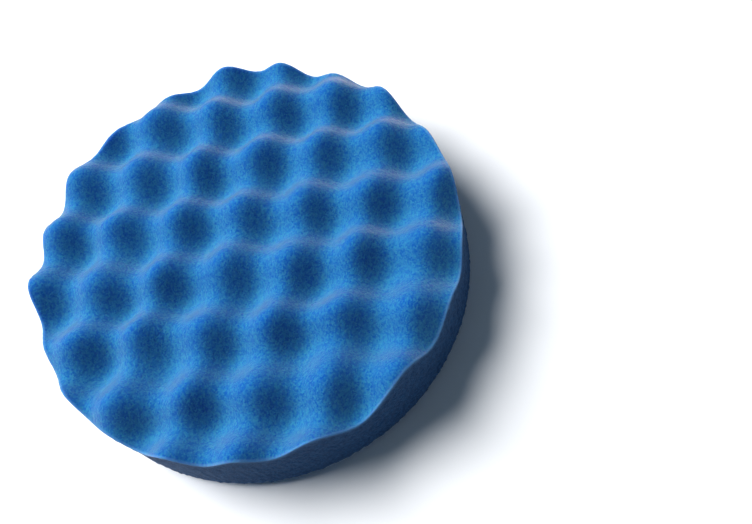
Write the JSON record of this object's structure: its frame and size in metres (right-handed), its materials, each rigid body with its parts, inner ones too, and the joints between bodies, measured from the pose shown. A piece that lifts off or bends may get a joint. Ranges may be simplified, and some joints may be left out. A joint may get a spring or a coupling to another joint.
{
  "type": "foam polishing pad",
  "caption": "Round waffle-faced foam polishing pad with a laminated brushed-loop backing for a rotary or orbital machine's hook plate.",
  "frame": {"origin": "centre of the loop face, which is the face that meets the machine's hook plate and the face that the pad rests on", "axes": "+Z along the pad's axis of rotation, from the loop face towards the waffle working face; +X along the rows of peaks"},
  "size_m": [0.15, 0.15, 0.036],
  "materials": {
    "foam": "matte",
    "film": "satin",
    "loop_ground": "matte",
    "loop_pile": "matte"
  },
  "bodies": {
    "root": {"foam_pad": "foam", "bonding_film": "film", "loop_ground_cloth": "loop_ground", "loop_pile": "loop_pile"}
  },
  "joints": []
}
